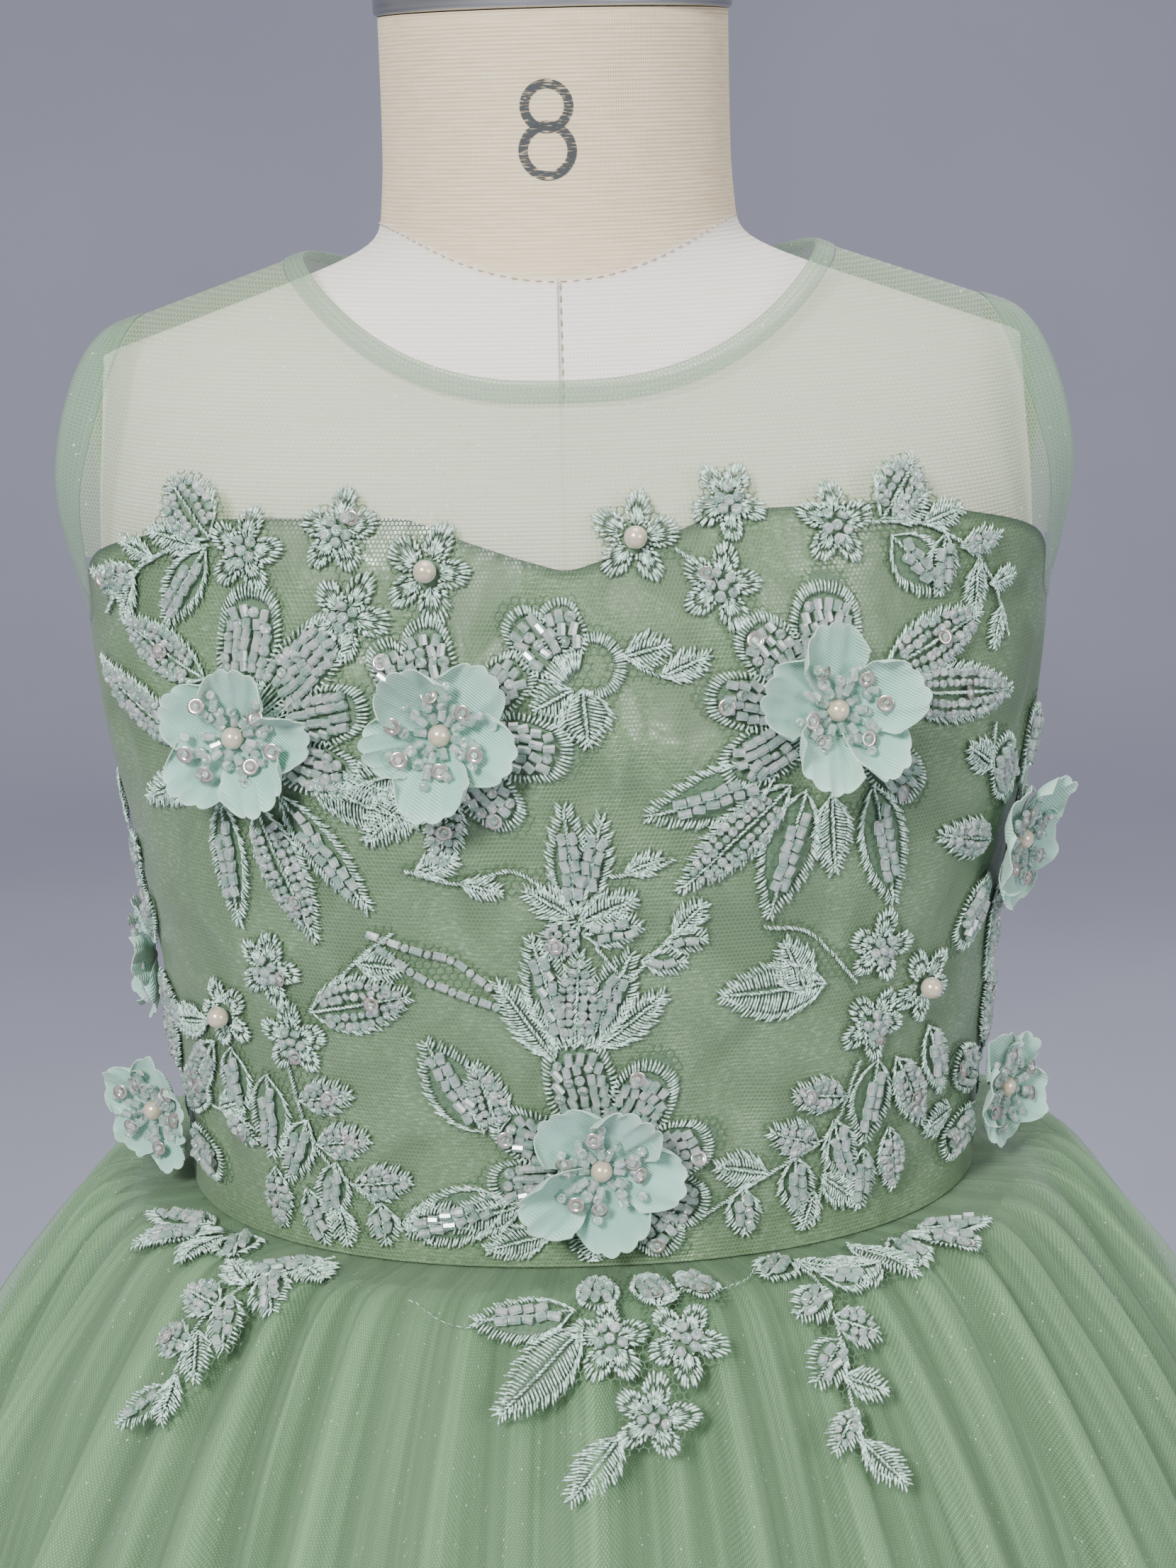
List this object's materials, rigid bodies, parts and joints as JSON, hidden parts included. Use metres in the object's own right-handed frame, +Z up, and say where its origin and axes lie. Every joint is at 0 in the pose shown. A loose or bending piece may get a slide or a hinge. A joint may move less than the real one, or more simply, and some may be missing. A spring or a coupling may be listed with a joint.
{
  "type": "pageant dress on a dress form",
  "caption": "Girl's floor-length pageant dress: sheer net yoke, satin bodice with flower applique and a full gathered net skirt, on a limbless dress form with a stand.",
  "frame": {"origin": "middle of the stand's base, on the floor", "axes": "+Z up, -Y towards the front of the dress, +X to the right seen from the front"},
  "size_m": [0.9998, 0.9542, 1.1355],
  "materials": {
    "canvas": "linen canvas",
    "cap_metal": "satin",
    "stand_paint": "satin",
    "satin": "satin under net",
    "yoke_net": "sheer net",
    "band_net": "folded net",
    "zip_tape": "woven tape and closed coil",
    "zip_metal": "satin",
    "tulle": "glitter net",
    "lining": "matt",
    "cord": "embroidered net",
    "petal": "padded twill"
  },
  "bodies": {
    "dress_and_form": {"form_torso": "canvas", "form_neck_cap": "cap_metal", "form_pole": "stand_paint", "form_base": "stand_paint", "bodice_front": "satin", "bodice_back_left": "satin", "bodice_back_right": "satin", "yoke_front": "yoke_net", "yoke_back_left": "yoke_net", "yoke_back_right": "yoke_net", "neckband_front": "band_net", "neckband_back_left": "band_net", "neckband_back_right": "band_net", "armband_left": "band_net", "armband_right": "band_net", "zip_chain": "zip_tape", "zip_slider": "zip_metal", "skirt_outer_front": "tulle", "skirt_outer_back_left": "tulle", "skirt_outer_back_right": "tulle", "skirt_under_front": "lining", "skirt_under_back": "lining", "applique_swirl": "cord", "applique_bust_left_outer": "cord", "applique_bust_left_inner": "cord", "applique_bust_right": "cord", "applique_waist_centre": "cord", "applique_centre": "cord", "applique_mid_left": "cord", "applique_mid_right": "cord", "applique_waist_left": "cord", "applique_waist_right": "cord", "applique_side_right": "cord", "applique_side_left": "cord", "applique_skirt_centre": "cord", "applique_skirt_left": "cord", "applique_skirt_right": "cord", "applique_yoke_left": "cord", "applique_yoke_right": "cord", "flower_bust_left_outer": "petal", "flower_bust_left_inner": "petal", "flower_bust_right": "petal", "flower_waist_centre": "petal", "flower_waist_left": "petal", "flower_waist_right": "petal", "flower_side_right": "petal", "flower_side_left": "petal"},
    "pull_tab": {"zip_pull": "zip_metal"}
  },
  "joints": [
    {"name": "pull_tab_swing", "type": "hinge", "parent": "dress_and_form", "child": "pull_tab", "pos_m": [0, 0.07215, 1.03101], "axis": [1, 0, 0], "range_deg": [0, 150]}
  ]
}
